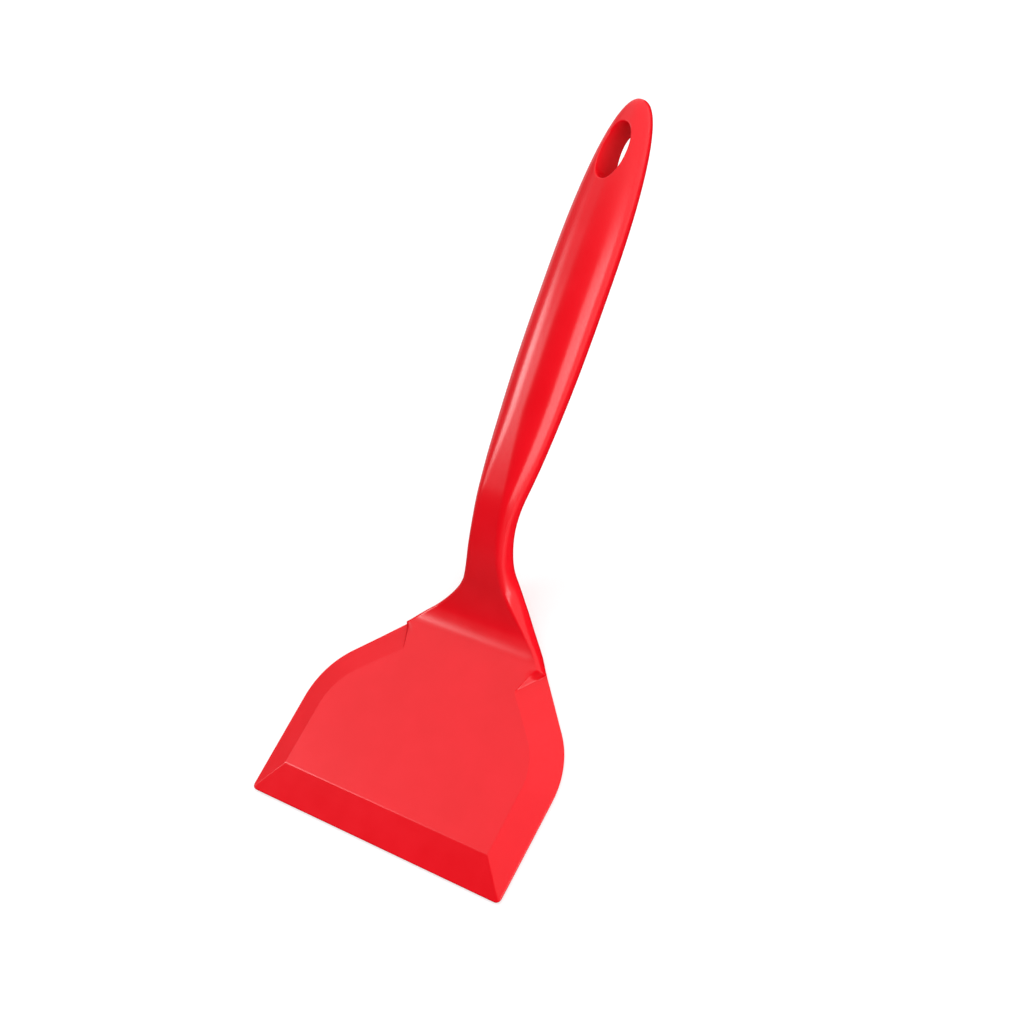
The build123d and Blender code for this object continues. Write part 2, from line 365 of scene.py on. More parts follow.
def backdrop_paint(floor_colour):
    """A pale matt floor, brighter to the camera. Gloss sees it painted dark beside and in front of the
    object, as painted shade.
    """
    material, place = new_material("pale_floor")
    paint = place.node("ShaderNodeBsdfDiffuse", Color=colour(floor_colour), Roughness=0.0)
    glow = place.node("ShaderNodeEmission", Color=(1, 1, 1, 1), Strength=FLOOR_SHOWN)
    # a black emission: no glow for other rays, and the painted shade that gloss sees near the object
    dark = place.node("ShaderNodeEmission", Color=(0, 0, 0, 1), Strength=0.0)
    across = place.part("X")
    to_left = (0.0 - across).held(*FLOOR_SIDE_BAND)
    beside = across.held(*FLOOR_SIDE_BAND) + to_left * FLOOR_LEFT_SHARE
    # share of the floor that gloss sees unshaded: away from the object and behind it, half of it on its left
    unshaded_in_gloss = beside * place.part("Y").held(*FLOOR_DEPTH_BAND)
    camera, glass, gloss = seen_rays(place)
    extra = place.node("ShaderNodeMixShader", _0=camera.larger(glass).larger(gloss), _1=dark, _2=glow)
    both = place.node("ShaderNodeAddShader", _0=paint, _1=extra)
    # gloss rays see black where that share is low: painted shade beside and in front of the object
    shaded = place.node("ShaderNodeMixShader", _0=gloss * (1.0 - unshaded_in_gloss), _1=both, _2=dark)
    place.node("ShaderNodeOutputMaterial", Surface=shaded)
    return material


def seen_rays(place):
    """Three values that are 1 for rays from the camera, through glass and off gloss, else 0."""
    kinds = ("Camera", "Transmission", "Glossy")
    return [place.node("ShaderNodeLightPath", output=f"Is {kind} Ray") for kind in kinds]


def smooth_step(share):
    """Rises from 0 to 1 with a level start and end."""
    held = np.clip(share, 0, 1)
    return held * held * (3 - 2 * held)


def soft_min(first, second, reach):
    """The lower of two heights, rounded where they meet."""
    near = np.clip(reach - np.abs(first - second), 0, None) / reach
    return np.minimum(first, second) - near * near * reach / 4


def soft_max(first, second, reach):
    """The higher of two heights, rounded where they meet."""
    return -soft_min(-first, -second, reach)


class Outline:
    """The right half of a blade outline: a side line, a round corner and a shoulder line."""

    def __init__(self, front, corner, end, radius):
        self.front = np.array(front)
        self.corner = np.array(corner)
        self.end = np.array(end)
        self.radius = radius
        along = self.corner - self.front
        away = self.end - self.corner
        along /= np.linalg.norm(along)
        away /= np.linalg.norm(away)
        self.side_normal = np.array((along[1], -along[0]))
        self.shoulder_normal = np.array((away[1], -away[0]))
        reach = radius * math.tan(math.acos(along @ away) / 2)
        self.start = self.corner - along * reach
        self.stop = self.corner + away * reach
        self.centre = self.start - self.side_normal * radius

    def half_width(self, y):
        """Half width of the sharp-cornered blade or panel at a row."""
        along = self.corner - self.front
        side = self.front[0] + (y - self.front[1]) * along[0] / along[1]
        slope = (self.end[0] - self.corner[0]) / (self.end[1] - self.corner[1])
        shoulder = self.corner[0] + (y - self.corner[1]) * slope
        lift = np.clip(self.radius**2 - (y - self.centre[1]) ** 2, 0, None)
        bend = self.centre[0] + np.sqrt(lift)
        return np.where(y < self.start[1], side, np.where(y > self.stop[1], shoulder, bend))

    def outside(self, x, y):
        """Distance outside the outline, below 0 inside it."""
        side, shoulder = self.side_normal, self.shoulder_normal
        from_side = (x - self.front[0]) * side[0] + (y - self.front[1]) * side[1]
        from_shoulder = (x - self.end[0]) * shoulder[0] + (y - self.end[1]) * shoulder[1]
        over_x = x - self.centre[0]
        over_y = y - self.centre[1]
        past_side = side[0] * over_y - side[1] * over_x
        before_shoulder = over_x * shoulder[1] - over_y * shoulder[0]
        bend = np.hypot(over_x, over_y) - self.radius
        straight = np.where(past_side < 0, from_side, from_shoulder)
        inner = np.maximum(from_side, from_shoulder)
        in_corner = (past_side >= 0) & (before_shoulder >= 0)
        return np.where(in_corner, bend, np.where((over_x < 0) & (over_y < 0), inner, straight))


def blade_outline():
    half = BLADE_WIDTH / 2
    return Outline((half, 0), (half - SIDE_NARROWING, SHOULDER_START), (HEEL_X, HEEL_Y), SHOULDER_RADIUS)


def panel_outline():
    half = BLADE_WIDTH / 2 - SIDE_MARGIN
    corner = (half - PANEL_NARROWING, PANEL_SHOULDER_START)
    return Outline((half, TIP_MARGIN), corner, (NOTCH_X, NOTCH_Y), PANEL_SHOULDER_RADIUS)


def blade_half_width(outline, y):
    """The blade's half width at a row, with its tip corners rounded."""
    wide = outline.half_width(y)
    short = np.clip(TIP_CORNER_RADIUS - y, 0, None)
    return wide - TIP_CORNER_RADIUS + np.sqrt(TIP_CORNER_RADIUS**2 - short**2)


def inset(outline, x, y):
    """Distance inside the blade's outline."""
    inside = np.minimum(-outline.outside(x, y), y)
    centre_x = outline.half_width(y) - TIP_CORNER_RADIUS
    in_corner = (x > centre_x) & (y < TIP_CORNER_RADIUS)
    from_corner = TIP_CORNER_RADIUS - np.hypot(x - centre_x, y - TIP_CORNER_RADIUS)
    return np.clip(np.where(in_corner, from_corner, inside), 0, None)


def round_over(distance, radius):
    """How far a rounded edge lies below its sharp one, at a distance in from the side."""
    left = np.clip(radius - distance, 0, None)
    return radius - np.sqrt(radius**2 - left**2)


def riser_height(x, y):
    """The slanted notch face, from the panel's rear corner out to the blade's edge."""
    inner = np.array((NOTCH_X, NOTCH_Y, PANEL_THICKNESS))
    top = np.array((HEEL_X - HEEL_TOP_ROUNDING, HEEL_Y, PANEL_THICKNESS))
    outer = np.array((HEEL_X, HEEL_Y, EDGE_THICKNESS))
    normal = np.cross(top - inner, outer - inner)
    return inner[2] - ((x - inner[0]) * normal[0] + (y - inner[1]) * normal[1]) / normal[2]


def near_heel(y):
    """0 ahead of the notch, 1 at the heel."""
    lead = HEEL_Y - NOTCH_Y
    return smooth_step((y - HEEL_Y + lead) / lead)


def blade_top(outline, panel, x, y, ridge_softening):
    """Height of the blade's upper face: thin edge, bevels, notch faces and panel."""
    rise = PANEL_THICKNESS - EDGE_THICKNESS
    within = -outline.outside(x, y)
    beyond = panel.outside(x, y)
    side = EDGE_THICKNESS + rise * within / np.maximum(within + beyond, LEAST_BEVEL)
    tip = EDGE_THICKNESS + rise * y / TIP_MARGIN
    side = soft_max(side, riser_height(x, y), RISER_SOFTENING)
    past_notch = smooth_step((y - NOTCH_Y) / NOTCH_FADE)
    softening = ridge_softening + (NOTCH_SOFTENING - ridge_softening) * past_notch
    slopes = soft_min(side, tip, ridge_softening)
    top = soft_min(slopes, PANEL_THICKNESS, softening)
    edge = TOP_EDGE_ROUNDING * (1 - near_heel(y)) + LEAST_ROUNDING
    return top - round_over(inset(outline, x, y), edge)


def blade_underside(outline, x, y):
    """Height of the flat underside, rounded up to the seam line at the outline."""
    seam = EDGE_THICKNESS - TOP_EDGE_ROUNDING * (1 - near_heel(y))
    left = np.clip(1 - inset(outline, x, y) / HEEL_BOTTOM_ROUNDING, 0, 1)
    return seam * (1 - np.sqrt(1 - left * left))


def quarter_curve(count):
    """Shares of a rounded quarter's width (inwards) and height (upwards), as smooth as an ellipse."""
    t = np.linspace(0, 1, count + 1)
    inwards = 3 * (1 - t) * t * t * (1 - QUARTER_SHARE) + t**3
    upwards = 3 * (1 - t) ** 2 * t * QUARTER_SHARE + 3 * (1 - t) * t * t + t**3
    return inwards, upwards


def blade_rows():
    """Places of the rows along the blade, close together at the tip, the panel's edge and the notch."""
    ridge = np.linspace(-RIDGE_REACH, RIDGE_REACH, RIDGE_ROWS)
    runs = [
        TIP_ROWS,
        np.linspace(BEVEL_RUN_START, TIP_MARGIN - 2 * RIDGE_REACH, BEVEL_ROWS),
        TIP_MARGIN + ridge,
        np.linspace(TIP_MARGIN + 2 * RIDGE_REACH, FRONT_RUN_END, FRONT_ROWS),
        np.linspace(REAR_RUN_START, NOTCH_Y - 1.6 * RIDGE_REACH, REAR_ROWS),
        NOTCH_Y + ridge,
        np.linspace(NOTCH_Y + 1.4 * RIDGE_REACH, NOTCH_RUN_END, NOTCH_ROWS),
        HEEL_Y - HEEL_ROWS,
    ]
    return np.concatenate(runs)


def blade_grid():
    """Right half of the blade's points: x and y for each row, from the outline in to the middle."""
    outline, panel = blade_outline(), panel_outline()
    y = blade_rows()[:, None]
    wide = blade_half_width(outline, y)
    mitre = BLADE_WIDTH / 2 - SIDE_MARGIN * y / TIP_MARGIN
    ridge = np.where(y < TIP_MARGIN, mitre, panel.half_width(y))
    along_notch = np.clip((y - NOTCH_Y) / (HEEL_Y - NOTCH_Y), 0, None)
    foot = NOTCH_X + (HEEL_X - NOTCH_X) * along_notch
    riser_top = NOTCH_X + (HEEL_X - HEEL_TOP_ROUNDING - NOTCH_X) * along_notch
    reach = RIDGE_REACH * (1 - near_heel(y))
    at_notch = y > NOTCH_Y
    outer = np.where(at_notch, foot, ridge) + reach
    inner = np.where(at_notch, riser_top, ridge) - reach
    least = np.where(at_notch, 0, EDGE_ROOM)
    margin = np.maximum(wide - outer, least)
    outer = wide - margin
    inner = np.minimum(inner, outer - 2 * reach)
    edge = EDGE_OFFSETS * np.minimum(margin / EDGE_ROOM, 1)
    steps = np.arange(1, MARGIN_STEPS + 1) / MARGIN_STEPS
    spread = edge[:, -1:] + (margin - edge[:, -1:]) * steps
    even = np.linspace(0, 1, BAND_STEPS + 1)[1:]
    crowded = quarter_curve(BAND_STEPS)[0][1:]
    shares = even + (crowded - even) * near_heel(y)
    band = outer - (outer - inner) * shares
    steps = np.arange(1, PANEL_STEPS + 1) / PANEL_STEPS
    flat = inner * (1 - steps)
    x = np.hstack([wide - edge, wide - spread, band, flat])
    return outline, panel, x, np.broadcast_to(y, x.shape)


def heel_bulge(x, y, z):
    """Near the heel the slanted face swells to the body's rounded corner."""
    inwards, upwards = quarter_curve(BAND_STEPS)
    band = slice(SIDE_COUNT, SIDE_COUNT + BAND_STEPS + 1)
    share = smooth_step((y[:, band] - HEEL_Y) / HEEL_SWELL + 1)
    straight = z[:, SIDE_COUNT : SIDE_COUNT + 1]
    z[:, band] += (straight + (PANEL_THICKNESS - straight) * upwards - z[:, band]) * share
    return z


def clamped_spline(places, values, first_slope, last_slope):
    """A smooth line through points with set end slopes, as a function of place."""
    gaps = np.diff(places)
    count = len(places)
    system = np.zeros((count, count))
    right = np.zeros(count)
    system[0, 0] = system[-1, -1] = 1
    right[0], right[-1] = first_slope, last_slope
    for i in range(1, count - 1):
        before, after = gaps[i - 1], gaps[i]
        system[i, i - 1 : i + 2] = after, 2 * (before + after), before
        rise_before = (values[i] - values[i - 1]) / before
        rise_after = (values[i + 1] - values[i]) / after
        right[i] = 3 * (after * rise_before + before * rise_after)
    slopes = np.linalg.solve(system, right)

    def line(place):
        i = np.clip(np.searchsorted(places, place) - 1, 0, count - 2)
        gap = gaps[i]
        t = (place - places[i]) / gap
        return (
            values[i] * (1 + 2 * t) * (1 - t) ** 2
            + slopes[i] * gap * t * (1 - t) ** 2
            + values[i + 1] * t * t * (3 - 2 * t)
            + slopes[i + 1] * gap * t * t * (t - 1)
        )

    return line


def tail_closing(place, fullness):
    """1 up to the grip's widest point, then down to 0 at the tail's end."""
    share = np.clip((place - GRIP_PLACE) / TAIL_LENGTH, 0, 1)
    return (1 - share**fullness) ** (1 / fullness)


def body_half_width(place):
    """Half width of the neck and handle, closing to nothing at the tail."""
    places = np.concatenate([
        [0],
        np.array(NECK_PLACES) * NECK_LENGTH,
        NECK_LENGTH + np.array(HANDLE_PLACES) * HANDLE_LENGTH,
        [GRIP_PLACE],
    ])
    widths = np.concatenate([
        [HEEL_X],
        np.array(NECK_WIDTHS) * HEEL_X,
        np.array(HANDLE_WIDTHS) * GRIP_HALF_WIDTH,
        [GRIP_HALF_WIDTH],
    ])
    front = clamped_spline(places, widths, -1, 0)(np.minimum(place, GRIP_PLACE))
    return np.where(place < GRIP_PLACE, front, GRIP_HALF_WIDTH * tail_closing(place, TAIL_FULLNESS))


def body_height_and_flat(place, half_width, below):
    """The section's reach above or below its widest line, and the half width of its flat."""
    start = UNDERSIDE_RISE_SHARE if below else 0
    grown = smooth_step((place / NECK_LENGTH - start) / (THICKENING_SHARE - start))
    heel_height = EDGE_THICKNESS if below else PANEL_THICKNESS - EDGE_THICKNESS
    rounding = HEEL_BOTTOM_ROUNDING if below else HEEL_TOP_ROUNDING
    tail = GRIP_HALF_WIDTH * tail_closing(place, TAIL_DEPTH_FULLNESS)
    deep = np.where(place < GRIP_PLACE, half_width, tail)
    along_handle = smooth_step((place - NECK_LENGTH) / (GRIP_PLACE - NECK_LENGTH))
    thick = THICKNESS_SHARE + (GRIP_THICKNESS_SHARE - THICKNESS_SHARE) * along_handle
    height = (1 - grown) * heel_height + grown * thick * deep
    if not below:
        grown = smooth_step(place / NECK_LENGTH - RIDGE_FADE_SHARE)
        rounding = rounding + (NECK_RIDGE_ROUNDING - rounding) * smooth_step(place / NECK_RIDGE_START)
        height = height - hollow_depth(place)
    oval = FLAT_SHARE * half_width
    flat = (1 - grown) * np.maximum(half_width - rounding, oval) + grown * oval
    return height, flat


def hollow_depth(place):
    """How far the upper face lies below the spine's bend at the heel, where its hollow opens slowly."""
    steps = np.linspace(0, HOLLOW_END, HOLLOW_STEPS + 1)
    sharp = np.clip(steps - LEAD_LENGTH, 0, None) / NECK_BEND_RADIUS
    kept = 1 - smooth_step((steps - HOLLOW_END + HOLLOW_BLEND) / HOLLOW_BLEND)
    slope = (sharp - steps / HOLLOW_RADIUS) * kept
    depth = np.cumsum(slope) * HOLLOW_END / HOLLOW_STEPS
    return np.interp(place, steps, depth) * (1 - smooth_step((place - HOLLOW_END) / HOLLOW_FADE))


def spine_points(place):
    """Points of the spine: y, z and the angle that it climbs at."""
    lead = np.minimum(place, LEAD_LENGTH)
    bend = np.clip(place - LEAD_LENGTH, 0, BEND_LENGTH) / NECK_BEND_RADIUS
    throat = np.clip(place - LEAD_LENGTH - BEND_LENGTH, 0, NECK_LENGTH - LEAD_LENGTH - BEND_LENGTH)
    angle = bend - throat / THROAT_BEND_RADIUS
    straight = np.clip(place - NECK_LENGTH, 0, None)
    eased = THROAT_BEND_RADIUS * (np.sin(bend) - np.sin(angle))
    dropped = THROAT_BEND_RADIUS * (np.cos(angle) - np.cos(bend))
    y = HEEL_Y + lead + NECK_BEND_RADIUS * np.sin(bend) + eased + straight * math.cos(HANDLE_ANGLE)
    z = EDGE_THICKNESS + NECK_BEND_RADIUS * (1 - np.cos(bend)) + dropped + straight * math.sin(HANDLE_ANGLE)
    return y, z, angle


def body_to_space(x, place, height):
    """Section coordinates to points in space."""
    y, z, angle = spine_points(place)
    return np.stack([x, y - height * np.sin(angle), z + height * np.cos(angle)], axis=-1)


def body_places():
    """Places of the sections: close together at the heel and round the tail."""
    neck = NECK_LENGTH * (np.arange(0, NECK_SECTIONS) / NECK_SECTIONS) ** NECK_CROWDING
    handle = np.linspace(NECK_LENGTH, GRIP_PLACE, HANDLE_SECTIONS)
    turn = np.radians(np.linspace(0, TAIL_LAST_TURN, TAIL_SECTIONS)[1:])
    return np.concatenate([neck, handle, GRIP_PLACE + TAIL_LENGTH * np.sin(turn)])


def body_contour(half_width, height, flat):
    """Half a section from its side to the middle, finely sampled, with the share of its length."""
    inwards, upwards = quarter_curve(CONTOUR_STEPS)
    x = np.append(half_width - (half_width - flat) * inwards, np.linspace(flat, 0, FLAT_STEPS + 1)[1:])
    h = np.append(height * upwards, np.full(FLAT_STEPS, height))
    length = np.append(0, np.cumsum(np.hypot(np.diff(x), np.diff(h))))
    return x, h, length / length[-1]


def body_grid(heel_x, below):
    """The neck's and handle's points for one face: x, place and height for each section."""
    places = body_places()
    widths = body_half_width(places)
    heights, flats = body_height_and_flat(places, widths, below)
    even = np.linspace(0, 1, len(heel_x))
    rows = []
    for place, half_width, height, flat in zip(places, widths, heights, flats):
        x, h, share = body_contour(half_width, height, flat)
        if not rows:
            at_heel = np.interp(-heel_x, -x, share)
        eased = smooth_step(place / EVEN_SPREAD_PLACE)
        wanted = at_heel + (even - at_heel) * eased
        row_x = np.interp(wanted, share, x)
        row_h = np.interp(wanted, share, h)
        row_x[-1] = 0
        rows.append((row_x, np.full(len(even), place), -row_h if below else row_h))
    return np.array(rows).transpose(1, 0, 2)


def body_height_at(x, place, below):
    """Height of the handle's surface over any point inside its outline."""
    half_width = body_half_width(place)
    height, flat = body_height_and_flat(place, half_width, below)
    inwards, upwards = quarter_curve(PROFILE_STEPS)
    share = np.clip((half_width - x) / (half_width - flat), 0, 1)
    return np.interp(share, inwards, upwards) * height


def hole_half():
    """Right half of the hole's outline from its blade side round to its tail side, with its normals."""
    t = np.linspace(0, 1, HOLE_POINTS)
    x = 3 * (1 - t) ** 2 * t * HOLE_FULLNESS + 3 * (1 - t) * t * t + t**3
    s = (1 - t) ** 3 + 3 * (1 - t) ** 2 * t + 3 * (1 - t) * t * t * HOLE_FULLNESS
    x = np.append(x, x[-2::-1]) * HOLE_HALF_WIDTH
    s = np.append(-s, s[-2::-1]) * HOLE_HALF_LENGTH
    step_x, step_s = np.gradient(x), np.gradient(s)
    size = np.hypot(step_x, step_s)
    return x, s, step_s / size, -step_x / size


class Skin:
    """Collects points and faces of the right half, then mirrors them into one closed mesh."""

    def __init__(self):
        self.points = []
        self.faces = []

    def add(self, points):
        """Takes a grid of points and returns the same grid of their numbers."""
        first = len(self.points)
        self.points.extend(map(tuple, points.reshape(-1, 3)))
        return np.arange(first, len(self.points)).reshape(points.shape[:-1])

    def face(self, corners):
        """Adds a face without its doubled corners, or none where too few are left."""
        kept = [c for i, c in enumerate(corners) if c != corners[i - 1]]
        if len(kept) > 2:
            self.faces.append(kept)

    def sheet(self, index, skipped=None):
        """Joins a grid of point numbers with faces, but for the skipped ones."""
        rows, columns = index.shape
        for i in range(rows - 1):
            for j in range(columns - 1):
                if skipped is None or not skipped[i, j]:
                    corners = (index[i, j], index[i + 1, j], index[i + 1, j + 1], index[i, j + 1])
                    self.face([int(corner) for corner in corners])

    def mesh(self, name):
        """Mirrors the half over the middle plane. Points on the plane are shared."""
        count = len(self.points)
        points = np.array(self.points)
        middle = np.abs(points[:, 0]) < 1e-9
        twin = np.where(middle, np.arange(count), count + np.cumsum(~middle) - 1)
        mirrored = points[~middle] * (-1, 1, 1)
        other = [[int(twin[c]) for c in reversed(face)] for face in self.faces]
        data = bpy.data.meshes.new(name)
        data.from_pydata(np.vstack([points, mirrored]).tolist(), [], self.faces + other)
        return data


def ring_in_block(rows, columns):
    """Index pairs round the block that the hole takes out of a sheet, from the middle back to it."""
    first, last = rows
    side, middle = columns
    front = [(first, j) for j in range(middle, side, -1)]
    flank = [(i, side) for i in range(first, last)]
    rear = [(last, j) for j in range(side, middle + 1)]
    return front + flank + rear


def hole_patch(skin, index, grid, block, below, rim):
    """Fills the block round the hole with rings that follow its outline, and rounds its rim."""
    x, place, height = grid
    ring = ring_in_block(*block)
    edge_index = np.array([index[i, j] for i, j in ring])
    edge_x = np.array([x[i, j] for i, j in ring])
    edge_s = np.array([place[i, j] for i, j in ring]) - HOLE_PLACE
    hole = hole_half()
    turn = np.arctan2(hole[0] / HOLE_HALF_WIDTH, -hole[1] / HOLE_HALF_LENGTH)
    wanted = np.arctan2(edge_x / HOLE_HALF_WIDTH, -edge_s / HOLE_HALF_LENGTH)
    loop_x, loop_s, out_x, out_s = [np.interp(wanted, turn, values) for values in hole]
    size = np.hypot(out_x, out_s)
    out_x[[0, -1]] = 0
    out_x /= size
    out_s /= size
    rings = [edge_index]
    over_x = loop_x + out_x * rim * HOLE_RING_REACH - edge_x
    over_s = loop_s + out_s * rim * HOLE_RING_REACH - edge_s
    steps = [(edge_x + over_x * share, edge_s + over_s * share, rim) for share in HOLE_RING_SHARES]
    for share in HOLE_RIM_SHARES:
        distance = rim * share
        steps.append((loop_x + out_x * distance, loop_s + out_s * distance, distance))
    for ring_x, ring_s, distance in steps:
        ring_x[[0, -1]] = 0
        surface = body_height_at(ring_x, ring_s + HOLE_PLACE, below) - round_over(distance, rim)
        rings.append(skin.add(body_to_space(ring_x, ring_s + HOLE_PLACE, -surface if below else surface)))
    skin.sheet(np.array(rings))
    return rings[-1], ring_x, ring_s, surface


def build_skin(settings):
    """The cover's right half as one skin: blade, neck, handle, tail and the hanging hole."""
    skin = Skin()
    outline, panel, x, y = blade_grid()
    top = heel_bulge(x, y, blade_top(outline, panel, x, y, settings.ridge_softening))
    under = blade_underside(outline, x, y)
    top_index = skin.add(np.stack([x, y, top], axis=-1))
    under_index = skin.add(np.stack([x, y, under], axis=-1))
    under_index[:, 0] = top_index[:, 0]
    under_index[0, :] = top_index[0, :]
    inwards, _ = quarter_curve(BAND_STEPS)
    flat_half = HEEL_X - HEEL_TOP_ROUNDING
    flat_x = np.linspace(flat_half, 0, PANEL_STEPS + 1)[1:]
    heel_x = np.append(HEEL_X - HEEL_TOP_ROUNDING * inwards, flat_x)
    grids = [body_grid(heel_x, below) for below in (False, True)]
    heel_index = [skin.add(body_to_space(*grid)) for grid in grids]
    heel_index[1][:, 0] = heel_index[0][:, 0]
    tail_y, tail_z, _ = spine_points(np.array([SPINE_LENGTH]))
    tail = skin.add(np.array([[0, tail_y[0], tail_z[0]]]))[0]
    places = grids[0][1][:, 0]
    reach = HOLE_HALF_LENGTH + HOLE_BLOCK_REACH * settings.rim_radius
    first = int(np.searchsorted(places, HOLE_PLACE - reach)) - 1
    last = int(np.searchsorted(places, HOLE_PLACE + reach))
    rims = []
    blades = (top_index, under_index)
    for below, blade_index, index, grid in zip((False, True), blades, heel_index, grids):
        heel_row = np.append(np.full(SIDE_COUNT, index[0, 0]), index[0])
        skin.sheet(np.vstack([blade_index, heel_row[None, :]]))
        columns = index.shape[1] - 1
        side = int(columns * HOLE_BLOCK_SIDE)
        skipped = np.zeros((len(places) - 1, columns), bool)
        skipped[first:last, side:] = True
        skin.sheet(index, skipped)
        skin.sheet(np.vstack([index[-1:], np.full((1, columns + 1), tail)]))
        block = ((first, last), (side, columns))
        rims.append(hole_patch(skin, index, grid, block, below, settings.rim_radius))
    (top_rim, ring_x, ring_s, above), (under_rim, _, _, below_height) = rims
    wall = [top_rim]
    for share in np.linspace(0, 1, HOLE_WALL_STEPS + 1)[1:-1]:
        height = above + (-below_height - above) * share
        wall.append(skin.add(body_to_space(ring_x, ring_s + HOLE_PLACE, height)))
    wall.append(under_rim)
    skin.sheet(np.array(wall))
    return skin.mesh("cover_skin")


def place_piece(name, data, material, body, replaced=None):
    """Puts a finished mesh in the scene at the origin, hangs it on its body's empty and hides the CAD piece
    it stands in for.
    """
    piece = bpy.data.objects.new(name, data)
    bpy.context.scene.collection.objects.link(piece)
    data.materials.clear()
    data.materials.append(material)
    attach(piece, body)
    if replaced:
        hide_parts(replaced)
    return piece


def rivet_tree():
    """Nodes that stand one rivet on each given point: a shank between two chamfered heads."""
    tree = bpy.data.node_groups.new("core_rivets", "GeometryNodeTree")
    sizes = ("Shank Radius", "Head Radius", "Head Height", "Grip")
    tree.interface.new_socket("Spots", in_out="INPUT", socket_type="NodeSocketGeometry")
    for name in sizes:
        tree.interface.new_socket(name, in_out="INPUT", socket_type="NodeSocketFloat")
    tree.interface.new_socket("Steel", in_out="INPUT", socket_type="NodeSocketMaterial")
    tree.interface.new_socket("Rivets", in_out="OUTPUT", socket_type="NodeSocketGeometry")
    given = tree.nodes.new("NodeGroupInput")
    spots, shank, head, thick, grip, steel, _ = [Socket(tree, out) for out in given.outputs]
    top = head * HEAD_TOP_SHARE
    chamfer = thick * HEAD_CHAMFER_SHARE
    upright = thick - chamfer
    first = spots.node("GeometryNodeMeshCircle", {"fill_type": "NGON"}, Vertices=RIVET_SIDES, Radius=top)
    body, radius, chosen = first, top, None
    steps = (
        (head, chamfer), (head, upright), (shank, 0.0), (shank, grip),
        (head, 0.0), (head, upright), (top, chamfer),
    )
    for wanted, rise in steps:
        raised = body.node(
            "GeometryNodeExtrudeMesh", {"mode": "FACES"}, Mesh=body, Selection=chosen, Offset_Scale=rise,
        )
        chosen = Socket(tree, raised.out.node.outputs["Top"])
        spread = wanted / radius
        body = raised.node("GeometryNodeScaleElements", Geometry=raised, Selection=chosen, Scale=spread)
        radius = wanted
    closed = body.node("GeometryNodeJoinGeometry", Geometry=body)
    tree.links.new(first.node("GeometryNodeFlipFaces", Mesh=first).out, closed.out.node.inputs["Geometry"])
    welded = closed.node("GeometryNodeMergeByDistance", Geometry=closed, Distance=WELD_DISTANCE)
    placed = spots.node("GeometryNodeInstanceOnPoints", Points=spots, Instance=welded)
    real = placed.node("GeometryNodeRealizeInstances", Geometry=placed)
    finished = real.node("GeometryNodeSetMaterial", Geometry=real, Material=steel)
    finished.node("NodeGroupOutput", Rivets=finished)
    return tree


def rivet_mesh(settings, steel):
    """The rivets as one plain mesh, from the nodes run on one point for each rivet."""
    foot = PLATE_UNDERSIDE - settings.head_height
    spots = bpy.data.meshes.new("rivet_spots")
    spots.from_pydata([(x, y + TIP_EDGE_Y, foot) for x, y in RIVET_SPOTS], [], [])
    maker = bpy.data.objects.new("rivet_maker", spots)
    bpy.context.scene.collection.objects.link(maker)
    modifier = maker.modifiers.new("rivets", "NODES")
    modifier.node_group = rivet_tree()
    values = {
        "Shank Radius": settings.rivet_radius,
        "Head Radius": settings.head_radius,
        "Head Height": settings.head_height,
        "Grip": RIVET_GRIP,
        "Steel": steel,
    }
    for item in modifier.node_group.interface.items_tree:
        if item.name in values:
            modifier[item.identifier] = values[item.name]
    seen = maker.evaluated_get(bpy.context.evaluated_depsgraph_get())
    data = bpy.data.meshes.new_from_object(seen)
    bpy.data.objects.remove(maker)
    data.name = "core_rivet_set"
    data.shade_smooth()
    data.set_sharp_from_angle(angle=SHARP_ANGLE)
    return data


class SiliconeSkinSettings(bpy.types.PropertyGroup):
    colour: FloatVectorProperty(
        name="Colour", description="Main colour of the silicone", subtype="COLOR", size=3,
        min=0, max=1, default=(0.82, 0.002, 0.010),
    )
    deep_colour: FloatVectorProperty(
        name="Deep colour", description="Colour of its slightly deeper clouds", subtype="COLOR", size=3,
        min=0, max=1, default=(0.78, 0.0015, 0.008),
    )
    roughness: FloatProperty(
        name="Roughness", description="Satin sheen of the skin", default=0.22, min=0, max=1,
    )
    grain_scale: FloatProperty(
        name="Grain scale", description="Fineness of the mould's grain", default=2600.0,
    )
    grain_depth: FloatProperty(
        name="Grain depth", description="Strength of the mould's grain", default=0.06,
    )
    ridge_softening: FloatProperty(
        name="Ridge softening", description="Rounding depth where the bevels meet the panel",
        default=0.08 * MM, unit="LENGTH",
    )
    rim_radius: FloatProperty(
        name="Hole rim", description="Rounding of the hanging hole's rims", default=0.55 * MM, unit="LENGTH",
    )


class SteelCoreSettings(bpy.types.PropertyGroup):
    tone: FloatVectorProperty(
        name="Steel tone", description="Colour of the stainless steel", subtype="COLOR", size=3,
        min=0, max=1, default=(0.62, 0.61, 0.60),
    )


class RivetSettings(bpy.types.PropertyGroup):
    tone: FloatVectorProperty(
        name="Rivet tone", description="Colour of the rivets' plain steel", subtype="COLOR", size=3,
        min=0, max=1, default=(0.68, 0.67, 0.66),
    )
    rivet_radius: FloatProperty(
        name="Rivet radius", description="Radius of a rivet's shank", default=1.6 * MM, unit="LENGTH",
    )
    head_radius: FloatProperty(
        name="Head radius", description="Radius of a rivet's heads", default=3.0 * MM, unit="LENGTH",
    )
    head_height: FloatProperty(
        name="Head height", description="Height of a rivet's heads", default=0.5 * MM, unit="LENGTH",
    )


